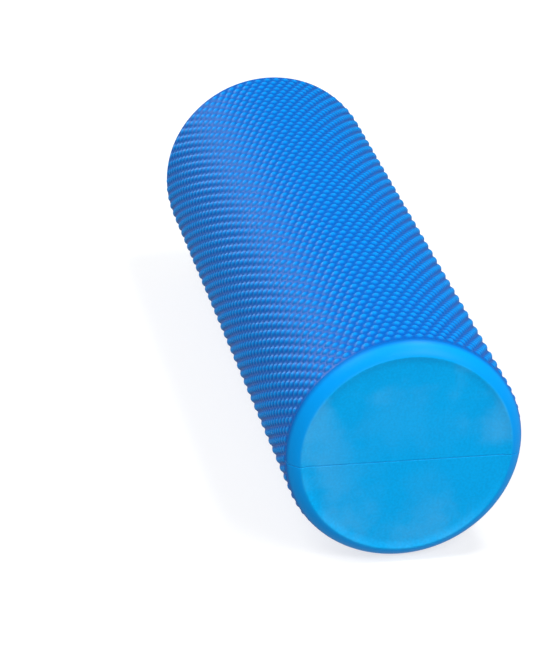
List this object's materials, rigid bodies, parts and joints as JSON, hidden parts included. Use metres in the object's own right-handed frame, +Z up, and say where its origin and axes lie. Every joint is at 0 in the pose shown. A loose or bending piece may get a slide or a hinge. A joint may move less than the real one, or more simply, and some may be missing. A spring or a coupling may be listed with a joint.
{
  "type": "foam roller",
  "caption": "Solid round EVA foam roller for massage and exercise, bonded from two moulded half bars, with bumpy skin, smooth rounded end bands and flat ends.",
  "frame": {"origin": "on the floor, under the middle of the roller as it lies", "axes": "+Y along the roller's axis, +Z up and square to the glued joint, +X to the right when looking along +Y"},
  "size_m": [0.15, 0.45, 0.15],
  "materials": {
    "foam": "moulded closed-cell EVA foam skin, satin, azure blue",
    "glue": "cured contact adhesive, tinted by the foam, satin"
  },
  "bodies": {
    "root": {"upper_half": "foam", "lower_half": "foam", "glue_layer": "glue"}
  },
  "joints": []
}
